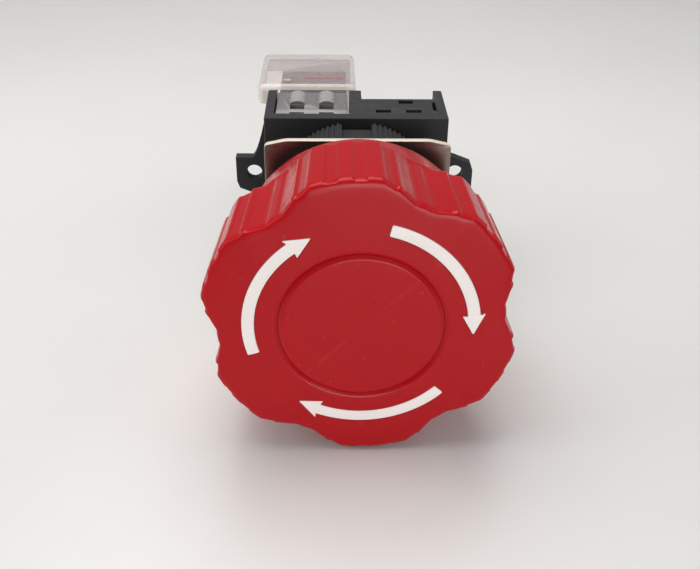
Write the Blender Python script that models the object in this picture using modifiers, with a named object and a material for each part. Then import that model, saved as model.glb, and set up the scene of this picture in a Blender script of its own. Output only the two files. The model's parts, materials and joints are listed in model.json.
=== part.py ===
"""Emergency stop button for a 22 mm panel hole: push to stop, turn clockwise to release.

Every piece is drawn in the button's own frame, in metres: x to the right and y up as the
user sees the button, z forward out of the panel. The empty button_axis turns that frame
into the world, where the button faces -Y and +Z is up. The world's origin is the middle of
the panel hole, on the face that the front gasket seats on.
"""

import math

import bmesh
import bpy
from mathutils import Matrix

MM = 0.001
GAP = 0.0003
MERGE_DISTANCE = 0.00001

# Head
FACE_Z = 30.5 * MM
HEAD_RIM_Z = 5.1 * MM
# (height, radius) down the head's body between the lobes, and down a lobe's crest
BODY_LINE = ((29.0 * MM, 21.1 * MM), (14.0 * MM, 20.3 * MM), (7.0 * MM, 18.9 * MM))
CREST_LINE = ((29.0 * MM, 23.3 * MM), (15.5 * MM, 22.5 * MM), (13.0 * MM, 20.1 * MM), (7.0 * MM, 18.9 * MM))
SIDE_HEIGHTS = (29.0 * MM, 22.2 * MM, 15.5 * MM, 14.2 * MM, 13.0 * MM, 7.0 * MM)
LOBES = 6
FIRST_VALLEY_DEG = 24.0
VALLEY_FLOOR_DEG = 13.5
VALLEY_FLANK_DEG = 10.0
DISC_RECESS_RADIUS = 12.05 * MM
DISC_RECESS_FLOOR_Z = 28.6 * MM
CAP_SCREW_SEAT_Z = 26.6 * MM
CAP_BOSS_Z = 25.2 * MM

# Arrows on the face
ARROW_RADIUS = 16.25 * MM
ARROW_WIDTH = 1.8 * MM
ARROW_HEAD_WIDTH = 3.4 * MM
ARROW_START_DEG = 13.5
ARROW_NECK_DEG = 83.0
ARROW_TIP_DEG = 94.5
ARROW_Z = 29.9 * MM
ARROW_THICKNESS = 0.4 * MM
ARROW_COUNT = 3

# Panel side
BEZEL_RADIUS = 14.7 * MM
BEZEL_FRONT_Z = 8.0 * MM
BARREL_RADIUS = 10.9 * MM
BARREL_BORE = 8.0 * MM
BARREL_END_Z = -14.5 * MM
GASKET_THICKNESS = 1.0 * MM
PLATE_FRONT_Z = -2.1 * MM
PLATE_THICKNESS = 1.3 * MM
PLATE_HALF_WIDTH = 15.5 * MM
NUT_FRONT_Z = -3.7 * MM
NUT_REAR_Z = -12.1 * MM
NUT_RADIUS = 14.5 * MM
NUT_RIBS = 96
RIB_HEIGHT = 0.4 * MM
NUT_NOTCHES = 4
NUT_NOTCH_WIDTH = 5.2 * MM

# Stem and latch
STEM_RADIUS = 7.7 * MM
STEM_PLATE_RADIUS = 9.8 * MM
STEM_FRONT_Z = CAP_BOSS_Z - GAP
STEM_PLATE_REAR_Z = 23.1 * MM
STEM_SHOULDER_Z = -3.6 * MM
ROD_RADIUS = 2.8 * MM
ROD_END_Z = -14.9 * MM
NECK_RADIUS = 1.6 * MM
NECK_END_Z = -18.7 * MM
FLAT_DISTANCE = 2.2 * MM
LATCH_Z = -9.8 * MM
PIN_RADIUS = 0.9 * MM
PIN_INNER_END = 2.5 * MM
PIN_LENGTH = 2.4 * MM
PUSHER_FRONT_Z = -15.2 * MM
PUSHER_THICKNESS = 1.8 * MM

# Contact base
BASE_HALF_WIDTH = 16.2 * MM
BASE_HALF_HEIGHT = 14.8 * MM
BASE_FRONT_Z = -12.5 * MM
BASE_WALL_Z = -14.6 * MM
BASE_REAR_Z = -26.5 * MM
WEB_REAR_Z = -21.9 * MM
WEB_INNER_Y = 13.1 * MM
BAY_INNER_X = 1.1 * MM
BAY_OUTER_X = 14.6 * MM
EAR_Z = -21.5 * MM
EAR_THICKNESS = 2.0 * MM
EAR_TIP_X = 22.4 * MM
EAR_TOP_Y = 3.7 * MM
GUSSET_TOP_Y = 14.0 * MM
EAR_HOLE_X = 19.0 * MM
EAR_HOLE_Y = 0.7 * MM
EAR_HOLE_RADIUS = 1.5 * MM

# Contact block, in the bay on the user's left
BLOCK_X = -7.95 * MM
BLOCK_WIDTH = 12.9 * MM
BLOCK_HALF_HEIGHT = 14.2 * MM
BLOCK_FRONT_Z = -15.1 * MM
BLOCK_FACE_Z = -23.2 * MM
BLOCK_STEP_Z = -26.6 * MM
BLOCK_REAR_Z = -44.0 * MM
BLOCK_REAR_HALF_HEIGHT = 12.3 * MM
WIRE_HOLE_OFFSET_X = 2.65 * MM
COVER_LEFT_X = -18.4 * MM
COVER_RIGHT_X = 0.2 * MM
COVER_TOP_Y = 15.1 * MM
COVER_BOTTOM_Y = -13.8 * MM
COVER_FRONT_Z = -28.0 * MM
COVER_REAR_Z = -47.5 * MM
COVER_WALL = 0.9 * MM
COVER_LIP_X = -14.8 * MM
COVER_OPENING_X = -14.5 * MM
COVER_OPENING_TOP_Y = 11.5 * MM
COVER_OPENING_BOTTOM_Y = -10.2 * MM
FIXED_CONTACT_Z = -27.2 * MM
CONTACT_THICKNESS = 0.8 * MM
TERMINAL_SCREW_Y = 9.5 * MM
TERMINAL_SHANK_RADIUS = 1.0 * MM
CHAMBER_HALF_HEIGHT = 11.6 * MM
BRIDGE_HALF_LENGTH = 7.3 * MM

HEAD_STEPS = 72
ROUND_STEPS = 48
SMALL_STEPS = 16

COLOURS = {
    "head_red": ((0.62, 0.02, 0.03), 0.25, 0.0),
    "arrow_white": ((0.88, 0.88, 0.88), 0.45, 0.0),
    "black_plastic": ((0.02, 0.02, 0.022), 0.45, 0.0),
    "white_plastic": ((0.75, 0.74, 0.70), 0.5, 0.0),
    "red_plastic": ((0.55, 0.05, 0.06), 0.4, 0.0),
    "milky_plastic": ((0.80, 0.78, 0.79), 0.35, 0.0),
    "clear_plastic": ((0.92, 0.92, 0.92), 0.08, 0.0),
    "rubber": ((0.015, 0.015, 0.015), 0.8, 0.0),
    "plated_steel": ((0.62, 0.60, 0.55), 0.25, 1.0),
    "spring_steel": ((0.55, 0.55, 0.56), 0.3, 1.0),
    "brass": ((0.70, 0.50, 0.22), 0.3, 1.0),
}


def clear_scene():
    for item in list(bpy.data.objects):
        bpy.data.objects.remove(item, do_unlink=True)


def new_collection(name):
    collection = bpy.data.collections.new(name)
    bpy.context.scene.collection.children.link(collection)
    return collection


clear_scene()
PARTS = new_collection("emergency_stop_button")
CUTTERS = new_collection("cutters")
AXIS = bpy.data.objects.new("button_axis", None)
AXIS.rotation_euler = (math.radians(90), 0, 0)
PARTS.objects.link(AXIS)


def material(piece_name, look):
    """A piece's own material, with the look named."""
    colour, roughness, metallic = COLOURS[look]
    made = bpy.data.materials.new(piece_name)
    made.use_nodes = True
    shader = made.node_tree.nodes["Principled BSDF"]
    shader.inputs["Base Color"].default_value = (*colour, 1)
    shader.inputs["Roughness"].default_value = roughness
    shader.inputs["Metallic"].default_value = metallic
    return made


def place(name, mesh, look=None, at=(0, 0, 0)):
    """An object with this mesh, on the button's axis frame. No look makes it a cutter."""
    made = bpy.data.objects.new(name, mesh)
    made.parent = AXIS
    made.location = at
    if look is None:
        CUTTERS.objects.link(made)
        made.hide_render = True
        made.display_type = "WIRE"
    else:
        PARTS.objects.link(made)
        mesh.materials.clear()
        mesh.materials.append(material(name, look))
    return made


def shade_round(mesh, angle_deg=35):
    mesh.shade_smooth()
    mesh.set_sharp_from_angle(angle=math.radians(angle_deg))


def mesh_from(builder, name):
    """A mesh filled by a function that works on a bmesh."""
    work = bmesh.new()
    builder(work)
    mesh = bpy.data.meshes.new(name)
    work.to_mesh(mesh)
    work.free()
    return mesh


def evaluated_mesh(made, name):
    """The mesh of an object with its modifiers applied, welded."""
    bpy.context.view_layer.update()
    graph = bpy.context.evaluated_depsgraph_get()
    mesh = bpy.data.meshes.new_from_object(made.evaluated_get(graph))
    mesh.name = name
    work = bmesh.new()
    work.from_mesh(mesh)
    bmesh.ops.remove_doubles(work, verts=work.verts, dist=MERGE_DISTANCE)
    work.to_mesh(mesh)
    work.free()
    return mesh


def turned(name, profile, look=None, closed=False, steps=ROUND_STEPS, at=(0, 0, 0)):
    """A solid of revolution about z. The profile's (radius, z) points run down its outer side."""

    def build(work):
        points = [work.verts.new((radius, 0, z)) for radius, z in profile]
        for first, second in zip(points, points[1:]):
            work.edges.new((first, second))
        if closed:
            work.edges.new((points[-1], points[0]))

    made = place(name, mesh_from(build, name), look, at)
    screw = made.modifiers.new("turn", "SCREW")
    screw.steps = steps
    screw.render_steps = steps
    screw.use_merge_vertices = True
    screw.merge_threshold = MERGE_DISTANCE
    made.data = finished_mesh(made, name, look)
    return made


def finished_mesh(made, name, look):
    """The evaluated mesh of a piece, shaded, with the piece's material, free of modifiers."""
    mesh = evaluated_mesh(made, name)
    made.modifiers.clear()
    if look is not None and not mesh.materials:
        mesh.materials.append(material(name, look))
    shade_round(mesh)
    return mesh


def bar(name, low, high, look=None, bevel=0.0):
    """A box between two corners, its edges rounded where a bevel width is given."""
    size = [b - a for a, b in zip(low, high)]
    centre = [(a + b) / 2 for a, b in zip(low, high)]

    def build(work):
        bmesh.ops.create_cube(work, size=1, matrix=Matrix.Diagonal((*size, 1)))

    made = place(name, mesh_from(build, name), look, centre)
    if bevel:
        add_bevel(made, bevel)
    return made


def add_bevel(made, width, segments=2):
    rounding = made.modifiers.new("edges", "BEVEL")
    rounding.width = width
    rounding.segments = segments
    rounding.limit_method = "ANGLE"
    rounding.angle_limit = math.radians(40)
    return rounding


def rod_along_y(name, radius, low_y, high_y, x, z, look=None, steps=SMALL_STEPS):
    """A round bar whose own axis is the button frame's y."""
    length = high_y - low_y

    def build(work):
        bmesh.ops.create_cone(work, cap_ends=True, segments=steps, radius1=radius, radius2=radius,
                              depth=length, matrix=Matrix.Rotation(math.radians(90), 4, "X"))

    made = place(name, mesh_from(build, name), look, (x, (low_y + high_y) / 2, z))
    shade_round(made.data)
    return made


def rod_along_z(name, radius, low_z, high_z, x, y, look=None, steps=SMALL_STEPS):
    length = high_z - low_z

    def build(work):
        bmesh.ops.create_cone(work, cap_ends=True, segments=steps, radius1=radius, radius2=radius,
                              depth=length)

    made = place(name, mesh_from(build, name), look, (x, y, (low_z + high_z) / 2))
    shade_round(made.data)
    return made


def plate(name, outlines, low_z, high_z, look=None):
    """A flat piece from closed outlines of (x, y) points; the second outline is a hole."""
    curve = bpy.data.curves.new(name, "CURVE")
    curve.dimensions = "2D"
    curve.fill_mode = "BOTH"
    curve.extrude = (high_z - low_z) / 2
    for outline in outlines:
        spline = curve.splines.new("POLY")
        spline.points.add(len(outline) - 1)
        for point, (x, y) in zip(spline.points, outline):
            point.co = (x, y, 0, 1)
        spline.use_cyclic_u = True
    drawn = bpy.data.objects.new(name + "_outline", curve)
    CUTTERS.objects.link(drawn)
    mesh = evaluated_mesh(drawn, name)
    bpy.data.objects.remove(drawn)
    bpy.data.curves.remove(curve)
    mesh.materials.clear()
    made = place(name, mesh, look, (0, 0, (low_z + high_z) / 2))
    shade_round(mesh)
    return made


def coil(name, path, wire_radius, look):
    """A wire along a list of points, with closed ends."""
    curve = bpy.data.curves.new(name, "CURVE")
    curve.dimensions = "3D"
    curve.bevel_depth = wire_radius
    curve.bevel_resolution = 2
    curve.use_fill_caps = True
    spline = curve.splines.new("POLY")
    spline.points.add(len(path) - 1)
    for point, place_of_point in zip(spline.points, path):
        point.co = (*place_of_point, 1)
    drawn = bpy.data.objects.new(name + "_wire", curve)
    CUTTERS.objects.link(drawn)
    mesh = evaluated_mesh(drawn, name)
    bpy.data.objects.remove(drawn)
    bpy.data.curves.remove(curve)
    mesh.materials.clear()
    made = place(name, mesh, look)
    shade_round(mesh)
    return made


def helix(radius, low, high, turns, steps_per_turn, place_point):
    """Points of a helix from low to high, each put in the frame by place_point(a, b, along)."""
    count = turns * steps_per_turn
    points = []
    for step in range(count + 1):
        angle = 2 * math.pi * step / steps_per_turn
        along = low + (high - low) * step / count
        points.append(place_point(radius * math.cos(angle), radius * math.sin(angle), along))
    return points


def boolean(made, other, operation="DIFFERENCE"):
    """Cut a piece with another shape or join the shape to it, and drop the shape."""
    step = made.modifiers.new(operation.lower(), "BOOLEAN")
    step.object = other
    step.operation = operation
    step.solver = "EXACT"
    look_material = made.data.materials[0]
    mesh = evaluated_mesh(made, made.name)
    made.modifiers.clear()
    mesh.materials.clear()
    mesh.materials.append(look_material)
    made.data = mesh
    bpy.data.objects.remove(other, do_unlink=True)
    shade_round(mesh)


def polar(radius, clockwise_deg):
    """The (x, y) point at this radius, at an angle counted clockwise from the top."""
    angle = math.radians(clockwise_deg)
    return radius * math.sin(angle), radius * math.cos(angle)


def circle(radius, steps=ROUND_STEPS, centre=(0, 0)):
    points = [polar(radius, 360 * step / steps) for step in range(steps)]
    return [(x + centre[0], y + centre[1]) for x, y in points]


# ---- The head ----

def smooth(value):
    value = min(max(value, 0), 1)
    return value * value * (3 - 2 * value)


def valley(clockwise_deg):
    """How much of the lobe depth is cut at this angle: 1 in a valley, 0 on a lobe."""
    pitch = 360 / LOBES
    offset = abs((clockwise_deg - FIRST_VALLEY_DEG + pitch / 2) % pitch - pitch / 2)
    return 1 - smooth((offset - VALLEY_FLOOR_DEG / 2) / VALLEY_FLANK_DEG)


def radius_at(line, z):
    """The radius at this height on a line of (height, radius) points that runs down."""
    for (high, high_radius), (low, low_radius) in zip(line, line[1:]):
        if z >= low:
            return low_radius + (high_radius - low_radius) * (z - low) / (high - low)
    return line[-1][1]


def side_row(z):
    """The head's side at this height: its radius on the lobes, and how deep the valleys are."""
    crest = radius_at(CREST_LINE, z)
    return crest, z, max(crest - radius_at(BODY_LINE, z), 0)


def head_rows():
    """Rings of the head's wall, from the screw hole over the face and back inside."""
    side = [side_row(z) for z in SIDE_HEIGHTS]
    lobe_depth = side[0][2]
    face = [
        (2.0 * MM, CAP_SCREW_SEAT_Z, 0),
        (4.6 * MM, CAP_SCREW_SEAT_Z, 0),
        (4.6 * MM, DISC_RECESS_FLOOR_Z, 0),
        (DISC_RECESS_RADIUS, DISC_RECESS_FLOOR_Z, 0),
        (DISC_RECESS_RADIUS, FACE_Z - 0.3 * MM, 0),
        (12.4 * MM, FACE_Z, 0),
        (19.0 * MM, 30.2 * MM, 0),
        (22.2 * MM, 30.05 * MM, lobe_depth),
        (22.9 * MM, 29.75 * MM, lobe_depth),
    ]
    inside = [
        (18.7 * MM, 5.6 * MM, 0),
        (18.3 * MM, HEAD_RIM_Z, 0),
        (16.9 * MM, HEAD_RIM_Z, 0),
        (19.2 * MM, 25.0 * MM, 0),
        (18.0 * MM, 27.0 * MM, 0),
        (6.2 * MM, 27.0 * MM, 0),
        (6.2 * MM, CAP_BOSS_Z, 0),
        (2.0 * MM, CAP_BOSS_Z, 0),
    ]
    return face + side + inside


def make_head_cap():
    """The hollow head: a loft from the lobed front edge to the round rear rim."""

    def build(work):
        rings = []
        for radius, z, depth in head_rows():
            ring = []
            for step in range(HEAD_STEPS):
                angle = 360 * step / HEAD_STEPS
                x, y = polar(radius - depth * valley(angle), angle)
                ring.append(work.verts.new((x, y, z)))
            rings.append(ring)
        for inner, outer in zip(rings, rings[1:] + rings[:1]):
            for step in range(HEAD_STEPS):
                after = (step + 1) % HEAD_STEPS
                work.faces.new((inner[step], outer[step], outer[after], inner[after]))
        bmesh.ops.recalc_face_normals(work, faces=work.faces)

    head = place("head_cap", mesh_from(build, "head_cap"), "head_red")
    shade_round(head.data)
    for number in range(ARROW_COUNT):
        outline = arrow_outline(number, GAP)
        pocket = plate("arrow_pocket", [outline], ARROW_Z - GAP, FACE_Z + 1 * MM)
        boolean(head, pocket)


def arrow_outline(number, grow):
    """A curved arrow that points clockwise, made larger by grow all round."""
    turn = number * 360 / ARROW_COUNT
    grow_deg = math.degrees(grow / ARROW_RADIUS)
    start = ARROW_START_DEG - grow_deg + turn
    neck = ARROW_NECK_DEG - grow_deg + turn
    tip = ARROW_TIP_DEG + 2 * grow_deg + turn
    steps = 14
    angles = [start + (neck - start) * step / steps for step in range(steps + 1)]
    half = ARROW_WIDTH / 2 + grow
    barb = ARROW_HEAD_WIDTH / 2 + 1.5 * grow
    outer = [polar(ARROW_RADIUS + half, angle) for angle in angles]
    inner = [polar(ARROW_RADIUS - half, angle) for angle in reversed(angles)]
    head = [
        polar(ARROW_RADIUS + barb, neck),
        polar(ARROW_RADIUS, tip),
        polar(ARROW_RADIUS - barb, neck),
    ]
    return outer + head + inner


def make_arrows():
    for number in range(ARROW_COUNT):
        outline = arrow_outline(number, 0)
        plate(f"arrow_inlay_{number + 1}", [outline], ARROW_Z, ARROW_Z + ARROW_THICKNESS, "arrow_white")


def make_centre_disc():
    radius = DISC_RECESS_RADIUS - GAP
    lip = 0.3 * MM
    rest = DISC_RECESS_FLOOR_Z + GAP
    turned("centre_disc", [
        (0, FACE_Z), (radius - lip, FACE_Z), (radius, FACE_Z - lip), (radius, rest),
        (radius - 1.2 * MM, rest), (radius - 1.2 * MM, FACE_Z - 1.1 * MM), (0, FACE_Z - 1.1 * MM),
    ], "head_red")


def make_cap_screw():
    seat = CAP_SCREW_SEAT_Z + GAP
    top = seat + 1.4 * MM
    screw = turned("cap_screw", [
        (0, top), (3.6 * MM, top), (4.0 * MM, top - 0.4 * MM), (4.0 * MM, seat),
        (1.5 * MM, seat), (1.5 * MM, 16.3 * MM), (1.2 * MM, 16.0 * MM), (0, 16.0 * MM),
    ], "plated_steel", steps=SMALL_STEPS)
    cut_cross_slot(screw, 0, 0, top, 2.6 * MM)


def cut_cross_slot(screw, x, y, z, half_length):
    """Two crossed slots in a screw's head, whose flat top is at z."""
    half_width = 0.45 * MM
    depth = 0.8 * MM
    for half_x, half_y in ((half_length, half_width), (half_width, half_length)):
        slot = bar("driver_slot", (x - half_x, y - half_y, z - depth), (x + half_x, y + half_y, z + depth))
        boolean(screw, slot)


# ---- The stem, its spring and its latch ----

def make_push_stem():
    clip_top = PUSHER_FRONT_Z - PUSHER_THICKNESS - 0.2 * MM
    stem = turned("push_stem", [
        (0, 15.5 * MM), (1.9 * MM, 15.5 * MM), (1.9 * MM, STEM_FRONT_Z),
        (STEM_PLATE_RADIUS, STEM_FRONT_Z), (STEM_PLATE_RADIUS, STEM_PLATE_REAR_Z),
        (STEM_RADIUS, STEM_PLATE_REAR_Z), (STEM_RADIUS, STEM_SHOULDER_Z),
        (ROD_RADIUS, STEM_SHOULDER_Z), (ROD_RADIUS, ROD_END_Z), (NECK_RADIUS, ROD_END_Z),
        (NECK_RADIUS, clip_top), (1.1 * MM, clip_top), (1.1 * MM, clip_top - 0.8 * MM),
        (NECK_RADIUS, clip_top - 0.8 * MM), (NECK_RADIUS, NECK_END_Z), (0, NECK_END_Z),
    ], "white_plastic", steps=32)
    reach = 2 * ROD_RADIUS
    for side in (1, -1):
        near = side * FLAT_DISTANCE
        far = side * reach
        flat = bar("cam_flat", (-reach, min(near, far), -11.3 * MM), (reach, max(near, far), -4.6 * MM))
        boolean(stem, flat)


def make_stem_seal():
    turned("stem_seal", [
        (8.0 * MM, 4.3 * MM), (8.9 * MM, 4.3 * MM), (8.9 * MM, 3.3 * MM), (8.0 * MM, 3.3 * MM),
    ], "rubber", closed=True, steps=32)


def make_return_spring():
    path = helix(9.1 * MM, 8.85 * MM, 22.25 * MM, 4, 12, lambda a, b, along: (a, b, along))
    coil("return_spring", path, 0.5 * MM, "spring_steel")


def make_latch():
    guide = turned("latch_guide", [
        (3.1 * MM, -8.0 * MM), (BARREL_BORE - GAP, -8.0 * MM),
        (BARREL_BORE - GAP, -11.6 * MM), (3.1 * MM, -11.6 * MM),
    ], "white_plastic", closed=True, steps=32)
    reach = 12 * MM
    tunnel = rod_along_y("pin_tunnel", PIN_RADIUS + GAP, -reach, reach, 0, LATCH_Z)
    boolean(guide, tunnel)
    pin_end = PIN_INNER_END + PIN_LENGTH
    for side, place_name in ((1, "top"), (-1, "bottom")):
        ends = sorted((side * PIN_INNER_END, side * pin_end))
        pin = rod_along_y(f"latch_pin_{place_name}", PIN_RADIUS, *ends, 0, LATCH_Z, "plated_steel")
        add_bevel(pin, 0.2 * MM, 1)

        def across(a, b, along, side=side):
            return a, side * along, b + LATCH_Z

        path = helix(0.7 * MM, pin_end + 0.35 * MM, 7.45 * MM, 3, 8, across)
        coil(f"latch_spring_{place_name}", path, 0.14 * MM, "spring_steel")


def make_pusher():
    half_length = 10.5 * MM
    half_width = 3.5 * MM
    steps = 8
    ends = []
    for middle, start in ((half_length - half_width, 0), (half_width - half_length, 180)):
        for step in range(steps + 1):
            x, y = polar(half_width, start + 180 * step / steps)
            ends.append((x + middle, y))
    rear = PUSHER_FRONT_Z - PUSHER_THICKNESS
    hole = circle(NECK_RADIUS + GAP, SMALL_STEPS)
    plate("pusher_plate", [ends, hole], rear, PUSHER_FRONT_Z, "black_plastic")


def make_retaining_clip():
    """A flat clip in the groove of the stem's neck, open on one side."""
    front = PUSHER_FRONT_Z - PUSHER_THICKNESS - GAP
    opening = 35
    steps = 20
    angles = [opening + (360 - 2 * opening) * step / steps for step in range(steps + 1)]
    outer = [polar(3.0 * MM, angle) for angle in angles]
    inner = [polar(1.4 * MM, angle) for angle in reversed(angles)]
    plate("retaining_clip", [outer + inner], front - 0.6 * MM, front, "spring_steel")


# ---- The panel side ----

def make_threaded_barrel():
    under = GASKET_THICKNESS + GAP
    turned("threaded_barrel", [
        (BARREL_BORE, BEZEL_FRONT_Z), (13.2 * MM, BEZEL_FRONT_Z), (14.4 * MM, 7.4 * MM),
        (BEZEL_RADIUS, 6.4 * MM), (BEZEL_RADIUS, under), (BARREL_RADIUS, under),
        (BARREL_RADIUS, BARREL_END_Z), (3.1 * MM, BARREL_END_Z), (3.1 * MM, -12.0 * MM),
        (BARREL_BORE, -12.0 * MM), (BARREL_BORE, 3.0 * MM), (9.2 * MM, 3.0 * MM),
        (9.2 * MM, 4.6 * MM), (BARREL_BORE, 4.6 * MM),
    ], "black_plastic", closed=True)


def make_front_gasket():
    turned("front_gasket", [
        (BARREL_RADIUS + GAP, GASKET_THICKNESS), (BEZEL_RADIUS - 0.2 * MM, GASKET_THICKNESS),
        (BEZEL_RADIUS - 0.2 * MM, 0), (BARREL_RADIUS + GAP, 0),
    ], "rubber", closed=True)


def make_lock_plate():
    shoulder_x = 11.9 * MM
    top_y = 14.9 * MM
    corner_y = 14.1 * MM
    right = [(shoulder_x, top_y), (PLATE_HALF_WIDTH, corner_y), (PLATE_HALF_WIDTH, -corner_y),
             (shoulder_x, -top_y)]
    left = [(-x, y) for x, y in reversed(right)]
    hole = circle(BARREL_RADIUS + GAP)
    rear = PLATE_FRONT_Z - PLATE_THICKNESS
    plate("lock_plate", [right + left, hole], rear, PLATE_FRONT_Z, "plated_steel")


def make_mounting_nut():
    """A ring with ribs all round and a notch for a spanner at each quarter."""
    outline = []
    for rib in range(NUT_RIBS):
        start = 360 * rib / NUT_RIBS
        for share, drop in ((0.0, RIB_HEIGHT), (0.5, 0)):
            outline.append(polar(NUT_RADIUS - drop, start + 360 / NUT_RIBS * share))
    hole = circle(BARREL_RADIUS + GAP)
    nut = plate("mounting_nut", [outline, hole], NUT_REAR_Z, NUT_FRONT_Z, "black_plastic")
    half = NUT_NOTCH_WIDTH / 2
    floor = NUT_RADIUS - 1.6 * MM
    reach = NUT_RADIUS + 1 * MM
    for notch in range(NUT_NOTCHES):
        low_z, high_z = NUT_REAR_Z - 1 * MM, NUT_FRONT_Z + 1 * MM
        cutter = bar("spanner_notch", (-half, floor, low_z), (half, reach, high_z))
        apply_turn(cutter, 360 * notch / NUT_NOTCHES)
        boolean(nut, cutter)


def apply_turn(made, angle_deg):
    """Turn a shape about the button's axis, in its mesh."""
    turn = Matrix.Rotation(math.radians(angle_deg), 4, "Z")
    made.data.transform(turn @ Matrix.Translation(made.location))
    made.location = (0, 0, 0)


# ---- The contact base ----

def make_contact_base():
    base = bar("contact_base", (-BASE_HALF_WIDTH, -BASE_HALF_HEIGHT, BASE_REAR_Z),
               (BASE_HALF_WIDTH, BASE_HALF_HEIGHT, BASE_FRONT_Z), "black_plastic", 0.25 * MM)
    behind = BASE_REAR_Z - 5 * MM
    beyond = BASE_HALF_HEIGHT + 5 * MM
    boolean(base, rod_along_z("barrel_hole", BARREL_RADIUS + GAP, behind, 0, 0, 0, steps=ROUND_STEPS))
    left_bay = bar("left_bay", (-BAY_OUTER_X, -beyond, behind), (-BAY_INNER_X, beyond, BASE_WALL_Z))
    boolean(base, left_bay)
    right_bay = bar("right_bay", (BAY_INNER_X, -WEB_INNER_Y, behind),
                    (BAY_OUTER_X, WEB_INNER_Y, BASE_WALL_Z))
    boolean(base, right_bay)
    right_mouth = bar("right_mouth", (BAY_INNER_X, -beyond, behind), (BAY_OUTER_X, beyond, WEB_REAR_Z))
    boolean(base, right_mouth)
    cut_web_slots(base, beyond)
    for side in (1, -1):
        join_ear(base, side)


def cut_web_slots(base, beyond):
    """Three short slots through both webs of the right bay, and a long one through the upper web."""
    slots = (
        (7.8, 10.4, -21.2, -19.6, -beyond), (3.5, 6.2, -16.6, -15.2, -beyond),
        (8.9, 11.7, -16.6, -15.2, -beyond), (13.8, 14.45, -20.4, -15.3, 0),
    )
    for low_x, high_x, low_z, high_z, low_y in slots:
        cutter = bar("web_slot", (low_x * MM, low_y, low_z * MM), (high_x * MM, beyond, high_z * MM))
        boolean(base, cutter)


def arc_between(start, corner, end, steps=7):
    """Points of a curve that leaves start towards corner and arrives at end from it."""
    points = []
    for step in range(steps + 1):
        t = step / steps
        weights = ((1 - t) ** 2, 2 * t * (1 - t), t * t)
        weighted = [(w * x, w * y) for w, (x, y) in zip(weights, (start, corner, end))]
        points.append((sum(x for x, y in weighted), sum(y for x, y in weighted)))
    return points


def join_ear(base, side):
    """An ear with a hole, and the curved gusset that ties it to the base's side."""
    root = BAY_OUTER_X + 0.4 * MM
    foot = BASE_HALF_WIDTH - 0.1 * MM
    gusset = arc_between((foot, GUSSET_TOP_Y), (18.1 * MM, 4.4 * MM), (19.2 * MM, EAR_TOP_Y))
    outline = [(root, -5.0 * MM), (root, GUSSET_TOP_Y), *gusset, (EAR_TIP_X, EAR_TOP_Y),
               (EAR_TIP_X, -1.2 * MM), (21.9 * MM, -2.6 * MM), (18.9 * MM, -3.8 * MM)]
    # The left ear has its gusset above it; the right ear is the same, turned half round.
    turned_outline = [(-side * x, side * y) for x, y in outline]
    ear = plate("ear", [turned_outline], EAR_Z - EAR_THICKNESS / 2, EAR_Z + EAR_THICKNESS / 2)
    boolean(base, ear, "UNION")
    beyond = 5 * MM
    hole = rod_along_z("ear_hole", EAR_HOLE_RADIUS, EAR_Z - beyond, EAR_Z + beyond,
                       -side * EAR_HOLE_X, EAR_HOLE_Y)
    boolean(base, hole)


# ---- The contact block ----

def make_block_housing():
    low_x = BLOCK_X - BLOCK_WIDTH / 2
    high_x = BLOCK_X + BLOCK_WIDTH / 2
    housing = bar("block_housing", (low_x, -BLOCK_HALF_HEIGHT, BLOCK_REAR_Z),
                  (high_x, BLOCK_HALF_HEIGHT, BLOCK_FRONT_Z), "milky_plastic", 0.2 * MM)
    beyond = 5 * MM
    recess = bar("pusher_space", (low_x - beyond, -11.9 * MM, BLOCK_FACE_Z),
                 (high_x + beyond, 11.9 * MM, BLOCK_FRONT_Z + beyond))
    boolean(housing, recess)
    for side in (1, -1):
        near = side * BLOCK_REAR_HALF_HEIGHT
        far = side * (BLOCK_HALF_HEIGHT + beyond)
        step = bar("cover_step", (low_x - beyond, min(near, far), BLOCK_REAR_Z - beyond),
                   (high_x + beyond, max(near, far), BLOCK_STEP_Z))
        boolean(housing, step)
        cut_wire_entries(housing, side)
    wall = 1.2 * MM
    chamber = bar("contact_chamber", (low_x + wall, -CHAMBER_HALF_HEIGHT, BLOCK_REAR_Z - beyond),
                  (high_x - wall, CHAMBER_HALF_HEIGHT, FIXED_CONTACT_Z + GAP))
    boolean(housing, chamber)
    stem_hole = bar("plunger_hole", (BLOCK_X - 4.0 * MM, -3.3 * MM, FIXED_CONTACT_Z - 1 * MM),
                    (BLOCK_X + 4.0 * MM, 3.3 * MM, BLOCK_FACE_Z + 1 * MM))
    boolean(housing, stem_hole)
    for side in (1, -1):
        clearance = rod_along_z("screw_tip_hole", 1.6 * MM, BLOCK_FACE_Z - 6 * MM,
                                BLOCK_FACE_Z - 1.2 * MM, BLOCK_X, side * TERMINAL_SCREW_Y)
        boolean(housing, clearance)


def cut_wire_entries(housing, side):
    """Two windows and two slots in the shoulder over each terminal."""
    half = 1.3 * MM
    near = side * 10 * MM
    far = side * (BLOCK_HALF_HEIGHT + 1 * MM)
    for direction in (1, -1):
        x = BLOCK_X + direction * WIRE_HOLE_OFFSET_X
        for low_z, high_z in ((-20.4, -18.3), (-16.8, -15.9)):
            window = bar("wire_entry", (x - half, min(near, far), low_z * MM),
                         (x + half, max(near, far), high_z * MM))
            boolean(housing, window)


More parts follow.
